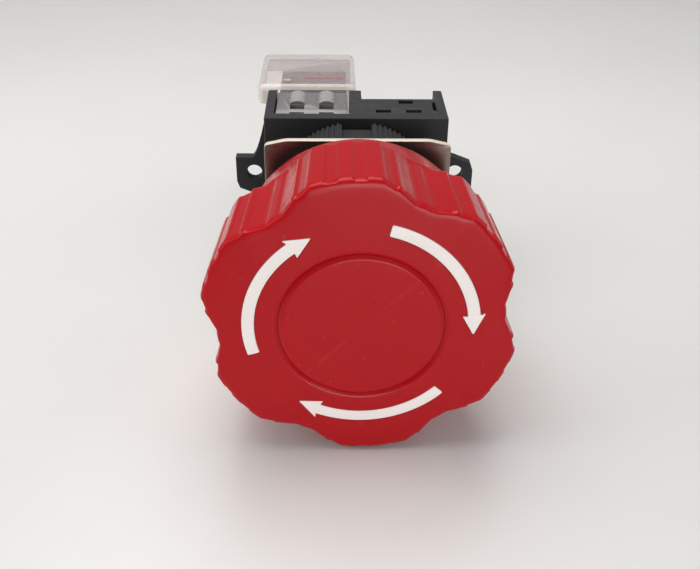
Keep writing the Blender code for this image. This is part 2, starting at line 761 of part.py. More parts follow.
def make_terminal_cover():
    """A clear box over the block's back, cut away beside the block, with a lip on its open front."""
    cover = bar("terminal_cover", (COVER_LEFT_X, COVER_BOTTOM_Y, COVER_REAR_Z),
                (COVER_RIGHT_X, COVER_TOP_Y, COVER_FRONT_Z), "clear_plastic", 1.0 * MM)
    beyond = 5 * MM
    inside_low = (COVER_LEFT_X + COVER_WALL, COVER_BOTTOM_Y + COVER_WALL, COVER_REAR_Z + COVER_WALL)
    inside_high = (COVER_RIGHT_X - COVER_WALL, COVER_TOP_Y - COVER_WALL, COVER_FRONT_Z - COVER_WALL)
    boolean(cover, bar("cover_space", inside_low, inside_high))
    mouth_low = (COVER_LIP_X, COVER_BOTTOM_Y + COVER_WALL, COVER_FRONT_Z - 2 * COVER_WALL)
    mouth_high = (COVER_RIGHT_X - COVER_WALL, COVER_TOP_Y - COVER_WALL, COVER_FRONT_Z + beyond)
    boolean(cover, bar("cover_mouth", mouth_low, mouth_high))
    opening_low = (COVER_LEFT_X - beyond, COVER_OPENING_BOTTOM_Y, COVER_REAR_Z - beyond)
    opening_high = (COVER_OPENING_X, COVER_OPENING_TOP_Y, COVER_FRONT_Z + beyond)
    boolean(cover, bar("side_opening", opening_low, opening_high))


def make_contact_plunger():
    """The red plunger: a tongue out of the block's front, and a carriage with a window."""
    top = PUSHER_FRONT_Z - PUSHER_THICKNESS - GAP
    carriage_top = -27.6 * MM
    plunger = bar("contact_plunger", (BLOCK_X - 3.7 * MM, -3.0 * MM, -34.4 * MM),
                  (BLOCK_X + 3.7 * MM, 3.0 * MM, -24.0 * MM), "red_plastic", 0.2 * MM)
    tongue = bar("tongue", (BLOCK_X - 2.0 * MM, -2.0 * MM, -25.0 * MM), (BLOCK_X + 2.0 * MM, 2.0 * MM, top))
    boolean(plunger, tongue, "UNION")
    window = bar("bridge_window", (BLOCK_X - 2.6 * MM, -5 * MM, -33.0 * MM),
                 (BLOCK_X + 2.6 * MM, 5 * MM, carriage_top - 0.4 * MM))
    boolean(plunger, window)
    arm = bar("guide_arm", (BLOCK_X - 4.2 * MM, -7.0 * MM, -34.4 * MM),
              (BLOCK_X + 4.2 * MM, 7.0 * MM, -33.4 * MM))
    boolean(plunger, arm, "UNION")


def make_contact_bridge():
    front = FIXED_CONTACT_Z - CONTACT_THICKNESS - GAP
    bar("contact_bridge", (BLOCK_X - 2.2 * MM, -BRIDGE_HALF_LENGTH, front - CONTACT_THICKNESS),
        (BLOCK_X + 2.2 * MM, BRIDGE_HALF_LENGTH, front), "brass", 0.15 * MM)


def make_contact_springs():
    bridge_rear = FIXED_CONTACT_Z - 2 * CONTACT_THICKNESS - GAP

    def at_block(a, b, along):
        return a + BLOCK_X, b, along

    path = helix(1.6 * MM, -32.6 * MM, bridge_rear - 0.55 * MM, 3, 9, at_block)
    coil("bridge_spring", path, 0.2 * MM, "spring_steel")
    path = helix(2.4 * MM, -45.9 * MM, -35.0 * MM, 5, 10, at_block)
    coil("plunger_spring", path, 0.3 * MM, "spring_steel")


def make_terminal(side, place_name):
    """A fixed contact strip, its saddle washer and its screw, which faces the back."""
    rear = FIXED_CONTACT_Z - CONTACT_THICKNESS
    ends = sorted((side * 4.4 * MM, side * 11.0 * MM))
    strip = bar(f"{place_name}_terminal", (BLOCK_X - 3.6 * MM, ends[0], rear),
                (BLOCK_X + 3.6 * MM, ends[1], FIXED_CONTACT_Z), "brass", 0.15 * MM)
    screw_y = side * TERMINAL_SCREW_Y
    hole_radius = TERMINAL_SHANK_RADIUS + GAP
    beyond = 1 * MM
    tapped = rod_along_z("tapped_hole", hole_radius, rear - beyond, FIXED_CONTACT_Z + beyond,
                         BLOCK_X, screw_y)
    boolean(strip, tapped)
    front = rear - GAP
    seat = front - 0.9 * MM
    washer = bar(f"{place_name}_saddle_washer", (BLOCK_X - 3.4 * MM, screw_y - 1.8 * MM, seat),
                 (BLOCK_X + 3.4 * MM, screw_y + 1.8 * MM, front), "plated_steel", 0.15 * MM)
    clearance = rod_along_z("washer_hole", hole_radius, seat - beyond, front + beyond, BLOCK_X, screw_y)
    boolean(washer, clearance)
    make_terminal_screw(f"{place_name}_terminal_screw", screw_y, seat - GAP)


def make_terminal_screw(name, screw_y, seat):
    """The head is on the back of the seat; the shank runs forward through washer and strip."""
    shank = TERMINAL_SHANK_RADIUS
    head = 1.7 * MM
    tip = -25.2 * MM
    screw = turned(name, [
        (0, tip), (shank - 0.3 * MM, tip), (shank, tip - 0.3 * MM), (shank, seat), (head, seat),
        (head, seat - 1.5 * MM), (head - 0.2 * MM, seat - 1.7 * MM), (0, seat - 1.7 * MM),
    ], "plated_steel", steps=SMALL_STEPS, at=(BLOCK_X, screw_y, 0))
    slot = bar("driver_slot", (BLOCK_X - 2 * MM, screw_y - 0.3 * MM, seat - 3 * MM),
               (BLOCK_X + 2 * MM, screw_y + 0.3 * MM, seat - 1.0 * MM))
    boolean(screw, slot)


def main():
    make_head_cap()
    make_arrows()
    make_centre_disc()
    make_cap_screw()
    make_push_stem()
    make_stem_seal()
    make_return_spring()
    make_latch()
    make_pusher()
    make_retaining_clip()
    make_threaded_barrel()
    make_front_gasket()
    make_lock_plate()
    make_mounting_nut()
    make_contact_base()
    make_block_housing()
    make_terminal_cover()
    make_contact_plunger()
    make_contact_bridge()
    make_contact_springs()
    for side, place_name in ((1, "upper"), (-1, "lower")):
        make_terminal(side, place_name)


main()
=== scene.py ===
"""Looks of the emergency stop button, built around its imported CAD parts.

Everything is in the row frame, in metres: the button faces -Y and +Z is up. A round piece is
drawn as (radius, y) points and turned about the button's axis, which is the Y axis.
"""

import json
import math

import bmesh
import bpy
from mathutils import Euler, Matrix, Vector


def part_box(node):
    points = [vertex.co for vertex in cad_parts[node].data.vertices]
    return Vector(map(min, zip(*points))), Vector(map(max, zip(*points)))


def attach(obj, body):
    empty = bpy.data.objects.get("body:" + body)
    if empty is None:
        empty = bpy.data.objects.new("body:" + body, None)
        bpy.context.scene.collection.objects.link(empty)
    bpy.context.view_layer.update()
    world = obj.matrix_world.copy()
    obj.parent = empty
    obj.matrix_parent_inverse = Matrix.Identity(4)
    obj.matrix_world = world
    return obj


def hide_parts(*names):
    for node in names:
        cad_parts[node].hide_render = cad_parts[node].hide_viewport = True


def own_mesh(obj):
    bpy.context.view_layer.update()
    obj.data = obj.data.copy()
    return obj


MM = 0.001
MERGE_DISTANCE = 0.00001

# The head, with its places in millimetres: (y, radius) along its side, between the lobes and on them
BODY_LINE = ((-31.0, 21.1), (-29.0, 21.1), (-14.0, 20.3), (-7.0, 18.9))
CREST_LINE = ((-31.0, 23.3), (-29.0, 23.3), (-15.5, 22.5), (-7.0, 22.0))
SHOULDER_START_Y = -15.5
SHOULDER_END_Y = -13.2
RIB_DEPTH = 0.25

# Its lobes and ribs, as (degrees from a lobe's middle, share of a full cut)
LOBES = 6
FIRST_LOBE_DEG = -6.0
VALLEY_CUT = ((0, 0), (13, 0), (14, 0.08), (17.5, 0.36), (18.6, 0.38), (25.5, 0.94), (27.3, 1), (30, 1))
RIB_CUT = (
    (0, 0), (2.3, 0), (3.2, 1), (6.6, 1), (7.5, 0), (12.3, 0), (13, 0.4), (13.8, 1), (17.2, 1),
    (18.2, 0), (19.4, 0), (20.6, 1), (27, 1), (28.2, 0.4), (30, 0.4),
)
HEAD_STEPS = 720

ARROW_RADIUS = 16.25 * MM
ARROW_HALF_WIDTH = 0.9 * MM
ARROW_BARB = 1.7 * MM
ARROW_START_DEG = 13.5
ARROW_NECK_DEG = 83.0
ARROW_TIP_DEG = 94.5
ARROW_COUNT = 3

BARREL_STEPS = 120
THREAD_PITCH = 1.5 * MM
THREAD_DEPTH = 0.6 * MM
BORE_RADIUS = 11.2 * MM
NUT_RIBS = 96
NUT_RIB_SHAPE = ((0.0, 1.0), (0.16, 0.9), (0.34, 0.15), (0.5, 0.0), (0.66, 0.15), (0.84, 0.9))

WIRE_ENTRY_X = 2.65 * MM
BLOCK_STEP_Z = 12.3 * MM
COVER_LEFT_WALL_X = -14.5 * MM
COVER_OPENING_Z = (-10.2 * MM, 11.5 * MM)

DUST = (0.6, 0.58, 0.56)
RUBBED_PLASTIC = (0.75, 0.72, 0.7)
RUBBED_METAL = (1, 0.98, 0.94)

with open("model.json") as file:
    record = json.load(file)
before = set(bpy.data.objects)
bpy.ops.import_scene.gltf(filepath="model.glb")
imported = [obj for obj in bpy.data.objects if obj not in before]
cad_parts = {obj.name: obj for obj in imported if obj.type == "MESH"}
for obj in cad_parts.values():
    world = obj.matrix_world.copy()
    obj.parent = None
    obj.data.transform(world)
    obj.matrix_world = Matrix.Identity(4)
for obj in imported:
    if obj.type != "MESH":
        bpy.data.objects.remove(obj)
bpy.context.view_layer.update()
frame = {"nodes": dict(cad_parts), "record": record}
RECORD = frame["record"]
BODY_OF = {node: body for body, nodes in RECORD["behaviour"]["bodies"].items() for node in nodes}
SLOT_OF = {part["node"]: part["material_slot"] for part in RECORD["subparts"]}


def corners(node):
    """A CAD node's lowest and highest corner."""
    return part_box(node)


# ---- Materials ----

class Tree:
    """A material's nodes. Each method adds one and gives its output."""

    def __init__(self, name):
        self.material = bpy.data.materials.new(name)
        self.material.use_nodes = True
        self.nodes = self.material.node_tree.nodes
        self.links = self.material.node_tree.links
        self.nodes.clear()
        self.output = self.nodes.new("ShaderNodeOutputMaterial")

    def add(self, kind, inputs, **settings):
        made = self.nodes.new(kind)
        for key, value in settings.items():
            setattr(made, key, value)
        for key, value in inputs.items():
            self.feed(made.inputs[key], value)
        return made

    def feed(self, socket, value):
        if isinstance(value, bpy.types.NodeSocket):
            self.links.new(value, socket)
        else:
            socket.default_value = value

    def millimetres(self):
        """Coordinates on the piece, in millimetres."""
        where = self.add("ShaderNodeTexCoord", {}).outputs["Object"]
        scaled = self.add("ShaderNodeVectorMath", {0: where, "Scale": 1 / MM}, operation="SCALE")
        return scaled.outputs["Vector"]

    def stretched(self, vector, scale, turn=(0, 0, 0)):
        angles = tuple(math.radians(angle) for angle in turn)
        mapping = self.add("ShaderNodeMapping", {"Vector": vector, "Scale": scale, "Rotation": angles})
        return mapping.outputs["Vector"]

    def noise(self, vector, scale, detail=3.0, roughness=0.55):
        made = self.add(
            "ShaderNodeTexNoise",
            {"Vector": vector, "Scale": scale, "Detail": detail, "Roughness": roughness},
        )
        return made.outputs["Fac"]

    def ranged(self, value, low, high, to_low=0.0, to_high=1.0):
        """A value's smooth step from to_low to to_high, as it goes from low to high."""
        made = self.add(
            "ShaderNodeMapRange",
            {"Value": value, "From Min": low, "From Max": high, "To Min": to_low, "To Max": to_high},
            interpolation_type="SMOOTHSTEP",
        )
        return made.outputs["Result"]

    def maths(self, operation, first, second=0.0):
        made = self.add("ShaderNodeMath", {0: first, 1: second}, operation=operation)
        return made.outputs["Value"]

    def plus(self, first, second):
        return self.maths("ADD", first, second)

    def times(self, first, second):
        return self.maths("MULTIPLY", first, second)

    def blend(self, factor, first, second):
        """A colour between two colours."""
        made = self.nodes.new("ShaderNodeMix")
        made.data_type = "RGBA"
        self.feed(made.inputs["Factor"], factor)
        colours = [socket for socket in made.inputs if socket.type == "RGBA"]
        for socket, colour in zip(colours, (first, second)):
            self.feed(socket, colour)
        return next(socket for socket in made.outputs if socket.type == "RGBA")

    def edges(self, low, high):
        """1 on sharp outer edges, 0 on flats."""
        shape = self.add("ShaderNodeNewGeometry", {})
        return self.ranged(shape.outputs["Pointiness"], low, high)

    def cut_sides(self):
        """1 on the sides of a plate that lies across Y, 0 on its front and back."""
        facing = self.add("ShaderNodeTexCoord", {}).outputs["Normal"]
        across = self.add("ShaderNodeSeparateXYZ", {"Vector": facing}).outputs["Y"]
        return self.ranged(self.maths("ABSOLUTE", across), 0.75, 0.45)

    def scratches(self, vector, angle, fineness, cut=0.66):
        """Thin straight marks that all run one way, where a stretched noise is high."""
        lines = self.noise(self.stretched(vector, (0.05, 1, 1), (0, angle, 0)), fineness, 2.0)
        patches = self.noise(vector, 0.11, 2.0)
        return self.times(self.ranged(lines, cut, cut + 0.06), self.ranged(patches, 0.45, 0.62))

    def bump(self, height, strength, distance, before=None):
        """The surface's normal over bumps of this height, on top of an earlier bump."""
        inputs = {"Height": height, "Strength": strength, "Distance": distance}
        if before is not None:
            inputs["Normal"] = before
        return self.add("ShaderNodeBump", inputs).outputs["Normal"]


def shade(colour, factor=1.0):
    """A colour made darker or lighter, with its alpha."""
    return (*(min(channel * factor, 1) for channel in colour), 1)


def towards(colour, other, share):
    """A colour moved by a share of the way to another."""
    return tuple(a + (b - a) * share for a, b in zip(colour, other))


def moulded(name, colour, roughness, grain=0.4, tone=0.06, pale_edge_strength=0.25, dust=0.1, scratch=0.3,
            ripple=0.0, edge_colour=None, specular=0.5, edge_range=(0.56, 0.68)):
    """A moulded plastic: grain, slow colour change, dust, fine scratches and pale edges, worn and, with
    the head's edge colour, also a painted highlight.

    grain, tone, wear, dust, scratch and ripple each say how much of that shows, from 0 to 1.
    """
    tree = Tree(name)
    vector = tree.millimetres()
    cloudy = tree.noise(vector, 0.12, 3.0)
    body = tree.blend(cloudy, shade(colour, 1 - tone), shade(colour, 1 + tone))
    specks = tree.ranged(tree.noise(vector, 3.2, 4.0, 0.7), 0.62, 0.74)
    settled = tree.times(specks, tree.ranged(tree.noise(vector, 0.25), 0.4, 0.7))
    dusty = tree.blend(tree.times(settled, dust), body, shade(towards(colour, DUST, 0.7)))
    # Pale edges: worn, and on the head also a painted highlight along its ribs and rim.
    pale_edges = tree.times(tree.edges(*edge_range), tree.ranged(tree.noise(vector, 0.8), 0.35, 0.65))
    pale = shade(edge_colour or towards(colour, RUBBED_PLASTIC, 0.35))
    final = tree.blend(tree.times(pale_edges, pale_edge_strength), dusty, pale)
    marks = tree.plus(tree.scratches(vector, 24, 5.0), tree.scratches(vector, -61, 6.5))
    smudges = tree.ranged(tree.noise(vector, 0.3, 2.0), 0.3, 0.7, -0.035, 0.035)
    rough = tree.plus(smudges, roughness)
    rough = tree.plus(rough, tree.times(marks, 0.12 * scratch))
    rough = tree.plus(rough, tree.times(settled, 0.6 * dust))
    normal = tree.bump(tree.noise(vector, 7.0, 3.0), grain * 0.25, 0.02 * MM)
    normal = tree.bump(tree.noise(vector, 0.35, 1.0), ripple, 0.06 * MM, normal)
    normal = tree.bump(tree.times(marks, -1.0), scratch * 0.2, 0.01 * MM, normal)
    shader = tree.add("ShaderNodeBsdfPrincipled", {
        "Base Color": final, "Roughness": rough, "Normal": normal, "Specular IOR Level": specular,
    })
    tree.links.new(shader.outputs[0], tree.output.inputs["Surface"])
    return tree.material


def metal(name, colour, roughness, brush, stain, stain_colour=(0.25, 0.18, 0.12), cut_colour=None):
    """A plated or bright metal: fine rolling lines, slow stains and brighter worn edges.

    With a cut colour, the sides of a plate that lies across Y show the bright cut metal.
    """
    tree = Tree(name)
    vector = tree.millimetres()
    lines = tree.noise(tree.stretched(vector, (0.06, 1, 1)), 9.0, 4.0, 0.7)
    clouds = tree.noise(vector, 0.35, 4.0)
    body = tree.blend(clouds, shade(colour, 0.9), shade(colour, 1.08))
    stained = tree.times(tree.ranged(tree.noise(vector, 0.55, 5.0, 0.65), 0.52, 0.72), stain)
    body = tree.blend(stained, body, shade(stain_colour))
    pale_edges = tree.times(tree.edges(0.54, 0.64), 0.8)
    final = tree.blend(pale_edges, body, shade(towards(colour, RUBBED_METAL, 0.8)))
    rough = tree.plus(roughness - 0.05, tree.times(lines, 0.1 + 0.1 * brush))
    rough = tree.plus(rough, tree.times(stained, 0.5))
    metallic = 1.0
    if cut_colour is not None:
        cut = tree.cut_sides()
        bright = tree.blend(lines, shade(cut_colour, 0.85), shade(cut_colour, 1.1))
        final = tree.blend(cut, final, bright)
        rough = tree.plus(rough, tree.times(cut, 0.25))
        metallic = tree.maths("SUBTRACT", 0.85, tree.times(cut, 0.45))
    normal = tree.bump(lines, 0.12 * brush, 0.01 * MM)
    normal = tree.bump(clouds, 0.05, 0.05 * MM, normal)
    shader = tree.add("ShaderNodeBsdfPrincipled", {
        "Base Color": final, "Roughness": rough, "Metallic": metallic, "Normal": normal,
    })
    tree.links.new(shader.outputs[0], tree.output.inputs["Surface"])
    return tree.material


def milky(name):
    """Milky polycarbonate: cloudy, with flow marks, paler towards its front, and with a painted highlight
    that lightens its hood tops.
    """
    tree = Tree(name)
    vector = tree.millimetres()
    flow = tree.noise(tree.stretched(vector, (1, 0.3, 1)), 0.25, 3.0)
    colour = tree.blend(flow, (0.17, 0.158, 0.16, 1), (0.20, 0.188, 0.19, 1))
    place = tree.add("ShaderNodeSeparateXYZ", {"Vector": vector})
    # Painted highlight: the hood tops are lightened as if lit from above; the front is paler too.
    hoods = tree.ranged(tree.maths("ABSOLUTE", place.outputs["Z"]), 14.2, 14.8)
    front = tree.ranged(place.outputs["Y"], 18.2, 17.4)
    pale_front_and_lit_hood_tops = tree.maths("MAXIMUM", hoods, tree.times(front, 0.8))
    colour = tree.blend(pale_front_and_lit_hood_tops, colour, (0.34, 0.322, 0.32, 1))
    pale = tree.blend(tree.times(tree.edges(0.56, 0.68), 0.4), colour, (0.48, 0.455, 0.45, 1))
    rough = tree.ranged(tree.noise(vector, 0.8, 3.0), 0.3, 0.7, 0.26, 0.34)
    shader = tree.add("ShaderNodeBsdfPrincipled", {
        "Base Color": pale, "Roughness": rough, "IOR": 1.5, "Specular IOR Level": 0.4,
    })
    tree.links.new(shader.outputs[0], tree.output.inputs["Surface"])
    return tree.material


def clear(name):
    """Thin clear polycarbonate: see-through and scuffed, with a haze that grows towards grazing."""
    tree = Tree(name)
    vector = tree.millimetres()
    scuffs = tree.plus(tree.scratches(vector, 35, 4.0, 0.6), tree.scratches(vector, -50, 5.0, 0.6))
    haze = tree.ranged(tree.noise(vector, 0.3, 4.0), 0.35, 0.75, 0.17, 0.25)
    grazing = tree.add("ShaderNodeLayerWeight", {"Blend": 0.3}).outputs["Facing"]
    rim = tree.ranged(grazing, 0.4, 1.0, 0.0, 0.35)
    along = tree.add("ShaderNodeSeparateXYZ", {"Vector": vector}).outputs["Y"]
    # Painted highlight: the front lip is tinted a warm cream and made less see-through, as if it caught
    # the light.
    lip = tree.ranged(along, 29.3, 28.8)
    edge = tree.times(tree.maths("MAXIMUM", tree.edges(0.6, 0.7), lip), 0.3)
    share = tree.plus(tree.plus(haze, rim), tree.plus(edge, tree.times(scuffs, 0.12)))
    share = tree.maths("MINIMUM", share, 0.9)
    colour = tree.blend(lip, (0.64, 0.57, 0.56, 1), (0.86, 0.78, 0.70, 1))
    rough = tree.plus(0.07, tree.times(scuffs, 0.25))
    normal = tree.bump(tree.noise(vector, 0.6, 2.0), 0.12, 0.05 * MM)
    see = tree.add("ShaderNodeBsdfTransparent", {"Color": (0.955, 0.945, 0.94, 1)})
    gloss = tree.add("ShaderNodeBsdfPrincipled", {
        "Base Color": colour, "Roughness": rough, "Normal": normal, "IOR": 1.58,
    })
    both = tree.add("ShaderNodeMixShader", {0: share, 1: see.outputs[0], 2: gloss.outputs[0]})
    tree.links.new(both.outputs[0], tree.output.inputs["Surface"])
    return tree.material


def floor_material():
    """Pale, nearly plain, with a faint mottling and a soft sheen."""
    tree = Tree("pale_floor")
    vector = tree.millimetres()
    mottled = tree.blend(tree.noise(vector, 0.03, 3.0), (0.70, 0.69, 0.675, 1), (0.735, 0.725, 0.71, 1))
    rough = tree.ranged(tree.noise(vector, 0.2, 3.0), 0.3, 0.7, 0.30, 0.38)
    normal = tree.bump(tree.noise(vector, 1.5, 2.0), 0.04, 0.05 * MM)
    shader = tree.add("ShaderNodeBsdfPrincipled", {
        "Base Color": mottled, "Roughness": rough, "Normal": normal,
    })
    tree.links.new(shader.outputs[0], tree.output.inputs["Surface"])
    return tree.material


LOOKS = {
    # The head's brighter red edge colour paints a highlight along its ribs and rim, as well as worn
    # edges.
    "head_red": moulded(
        "head_red", (0.43, 0.003, 0.007), 0.24, grain=0.1, tone=0.05, pale_edge_strength=0.2, dust=0.01,
        scratch=0.0, ripple=0.12, edge_colour=(0.60, 0.05, 0.05), specular=0.22, edge_range=(0.55, 0.64),
    ),
    "arrow_white": moulded(
        "arrow_white", (0.93, 0.855, 0.82), 0.42, grain=0.3, tone=0.04, pale_edge_strength=0.3, dust=0.15,
        edge_colour=(0.96, 0.92, 0.90),
    ),
    "black_plastic": moulded(
        "black_plastic", (0.041, 0.040, 0.043), 0.48, grain=0.7, tone=0.04, pale_edge_strength=0.06,
        dust=0.004, scratch=0.15, specular=0.15,
    ),
    "white_plastic": moulded("white_plastic", (0.70, 0.69, 0.65), 0.45, tone=0.04),
    "red_plastic": moulded("red_plastic", (0.52, 0.03, 0.035), 0.36, tone=0.08),
    "milky_plastic": milky("milky_plastic"),
    "clear_plastic": clear("clear_plastic"),
    "rubber": moulded(
        "rubber", (0.012, 0.012, 0.012), 0.72, grain=1.0, tone=0.2, pale_edge_strength=0.1, dust=0.3, scratch=0.1,
    ),
    # The plate's steel is a dark brown: painted shade for its front, which lies behind the head in shade.
    "plated_steel": metal(
        "plated_steel", (0.2, 0.155, 0.135), 0.22, 0.06, 0.03, cut_colour=(0.85, 0.77, 0.64),
    ),
    "spring_steel": metal("spring_steel", (0.50, 0.50, 0.51), 0.24, 0.6, 0.12),
    "brass": metal("brass", (0.78, 0.58, 0.28), 0.26, 0.5, 0.25, (0.4, 0.2, 0.08)),
}


# ---- Making pieces ----

def piece(name, mesh, nodes):
    """A finished object that stands for these CAD nodes, on their body, in their material."""
    made = scratch_object(name, mesh)
    slot = SLOT_OF[nodes[0]]
    mesh.materials.clear()
    mesh.materials.append(LOOKS[slot])
    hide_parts(*nodes)
    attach(made, BODY_OF[nodes[0]])
    return made


def scratch_object(name, data):
    """A new object in the scene."""
    made = bpy.data.objects.new(name, data)
    bpy.context.scene.collection.objects.link(made)
    return made


def applied(made, name):
    """The mesh of a temporary object with its modifiers applied; the object goes."""
    bpy.context.view_layer.update()
    graph = bpy.context.evaluated_depsgraph_get()
    mesh = bpy.data.meshes.new_from_object(made.evaluated_get(graph), depsgraph=graph)
    mesh.name = name
    bpy.data.objects.remove(made, do_unlink=True)
    work = bmesh.new()
    work.from_mesh(mesh)
    bmesh.ops.remove_doubles(work, verts=work.verts, dist=MERGE_DISTANCE / 10)
    work.to_mesh(mesh)
    work.free()
    return mesh


def shade_round(mesh, angle_deg=32):
    """Smooth shading, with edges over this angle left sharp."""
    mesh.shade_smooth()
    mesh.set_sharp_from_angle(angle=math.radians(angle_deg))
    return mesh


def between(table, at):
    """The value at a place in a table of (place, value) pairs, along straight lines."""
    for (low, low_value), (high, high_value) in zip(table, table[1:]):
        if at <= high:
            return low_value + (high_value - low_value) * (at - low) / (high - low)
    return table[-1][1]


def clamp(value):
    return min(max(value, 0.0), 1.0)


def eased(value):
    """A smooth step from 0 to 1."""
    value = clamp(value)
    return value * value * (3 - 2 * value)


def polar(radius, clockwise_deg):
    """The (x, z) point at this radius, at an angle counted clockwise from the top."""
    angle = math.radians(clockwise_deg)
    return radius * math.sin(angle), radius * math.cos(angle)


def ring_at(radius, y, steps=BARREL_STEPS):
    """A circle of points about the button's axis."""
    ring = []
    for step in range(steps):
        x, z = polar(radius, 360 * step / steps)
        ring.append((x, y, z))
    return ring


def rounded(points, radius, segments=4, closed=False, sharp=()):
    """The outline with each corner replaced by a short curve. Corners numbered in sharp stay."""
    made = []
    count = len(points)
    for index, point in enumerate(points):
        here = Vector(point)
        ends = not closed and index in (0, count - 1)
        if ends or index in sharp:
            made.append(tuple(here))
            continue
        before = Vector(points[index - 1]) - here
        after = Vector(points[(index + 1) % count]) - here
        reach = min(radius, before.length * 0.48, after.length * 0.48)
        start = here + before.normalized() * reach
        end = here + after.normalized() * reach
        for step in range(segments + 1):
            share = step / segments
            bend = start * (1 - share) ** 2 + here * 2 * share * (1 - share) + end * share ** 2
            made.append(tuple(bend))
    return made


def loft(name, rings, closed=True):
    """A skin over rings with the same number of points; closed joins the last ring to the first."""
    work = bmesh.new()
    made = [[work.verts.new(point) for point in ring] for ring in rings]
    pairs = list(zip(made, made[1:]))
    if closed:
        pairs.append((made[-1], made[0]))
    count = len(made[0])
    for first, second in pairs:
        for step in range(count):
            after = (step + 1) % count
            work.faces.new((first[step], second[step], second[after], first[after]))
    bmesh.ops.remove_doubles(work, verts=work.verts, dist=MERGE_DISTANCE / 10)
    bmesh.ops.recalc_face_normals(work, faces=work.faces)
    mesh = bpy.data.meshes.new(name)
    work.to_mesh(mesh)
    work.free()
    return mesh


def lathe(name, profile, steps, closed=True, centre=(0, 0)):
    """A solid of revolution about a line along Y, from (radius, y) points."""
    rings = []
    for radius, y in profile:
        ring = []
        for step in range(steps):
            x, z = polar(max(radius, 0), 360 * step / steps)
            ring.append((x + centre[0], y, z + centre[1]))
        rings.append(ring)
    return shade_round(loft(name, rings, closed))


def flat_piece(name, outlines, low_y, high_y, edge):
    """A plate across the Y axis, with rounded edges, from (x, z) outlines: its own and its hole's."""
    curve = bpy.data.curves.new(name, "CURVE")
    curve.dimensions = "2D"
    curve.fill_mode = "BOTH"
    curve.extrude = (high_y - low_y) / 2 - edge
    curve.bevel_depth = edge
    curve.bevel_resolution = 2
    curve.offset = -edge
    for outline in outlines:
        spline = curve.splines.new("POLY")
        spline.points.add(len(outline) - 1)
        for point, (x, z) in zip(spline.points, outline):
            point.co = (x, z, 0, 1)
        spline.use_cyclic_u = True
    mesh = applied(scratch_object(name, curve), name)
    bpy.data.curves.remove(curve)
    turn = Matrix.Translation((0, (low_y + high_y) / 2, 0)) @ Matrix.Rotation(math.radians(90), 4, "X")
    mesh.transform(turn)
    return shade_round(mesh, 25)


def wire(name, path, radius):
    """A round wire along a list of points, with closed ends."""
    curve = bpy.data.curves.new(name, "CURVE")
    curve.dimensions = "3D"
    curve.bevel_depth = radius
    curve.bevel_resolution = 3
    curve.use_fill_caps = True
    spline = curve.splines.new("POLY")
    spline.points.add(len(path) - 1)
    for point, place in zip(spline.points, path):
        point.co = (*place, 1)
    mesh = applied(scratch_object(name, curve), name)
    bpy.data.curves.remove(curve)
    return shade_round(mesh)


def block(name, low, high, edge=0.0, segments=4):
    """The mesh of a box between two corners, with rounded edges."""
    low, high = Vector(low), Vector(high)
    work = bmesh.new()
    size = Matrix.Diagonal((*(high - low), 1))
    bmesh.ops.create_cube(work, size=1, matrix=Matrix.Translation((low + high) / 2) @ size)
    if edge:
        bmesh.ops.bevel(
            work, geom=work.edges[:], offset=edge, segments=segments, profile=0.5, affect="EDGES",
        )
    mesh = bpy.data.meshes.new(name)
    work.to_mesh(mesh)
    work.free()
    return mesh


def combined(mesh, others, operation="DIFFERENCE"):
    """A mesh with others cut from it or joined to it."""
    base = scratch_object(mesh.name, mesh)
    tools = [scratch_object("tool", other) for other in others]
    for tool in tools:
        step = base.modifiers.new("step", "BOOLEAN")
        step.object = tool
        step.operation = operation
        step.solver = "EXACT"
    made = applied(base, mesh.name)
    for tool in tools:
        bpy.data.objects.remove(tool, do_unlink=True)
    return made


def rounded_edges(mesh, edge, segments=3):
    """A copy of a faceted mesh with its flats merged and its edges rounded."""
    work = bmesh.new()
    work.from_mesh(mesh)
    bmesh.ops.remove_doubles(work, verts=work.verts, dist=MERGE_DISTANCE / 10)
    bmesh.ops.dissolve_limit(work, angle_limit=math.radians(0.6), verts=work.verts, edges=work.edges)
    clean = bpy.data.meshes.new(mesh.name + "_clean")
    work.to_mesh(clean)
    work.free()
    clean.shade_smooth()
    made = scratch_object(clean.name, clean)
    rounding = made.modifiers.new("edges", "BEVEL")
    rounding.width = edge
    rounding.segments = segments
    rounding.limit_method = "ANGLE"
    rounding.angle_limit = math.radians(32)
    rounding.use_clamp_overlap = True
    rounding.harden_normals = True
    return shade_round(applied(made, mesh.name), 50)


def settle(made):
    """Shade a piece by its larger faces."""
    settled = made.modifiers.new("shading", "WEIGHTED_NORMAL")
    settled.keep_sharp = True


def refined(node, edge, segments=3):
    """A CAD node's own shape with its edges rounded."""
    made = piece(node + "_finish", rounded_edges(frame["nodes"][node].data, edge, segments), [node])
    settle(made)


# ---- The head ----

def side_radius(clockwise_deg, y, valley_share=1, rib_share=1):
    """The side's radius in millimetres: a plain cone with ribbed lobes that end in a shoulder."""
    pitch = 360 / LOBES
    offset = abs((clockwise_deg - FIRST_LOBE_DEG + pitch / 2) % pitch - pitch / 2)
    body, crest = between(BODY_LINE, y), between(CREST_LINE, y)
    ahead = 1 - eased((y - SHOULDER_START_Y) / (SHOULDER_END_Y - SHOULDER_START_Y))
    valley = (crest - body) * between(VALLEY_CUT, offset) * valley_share
    rib = RIB_DEPTH * between(RIB_CUT, offset) * rib_share
    return body + (crest - body - valley - rib) * ahead


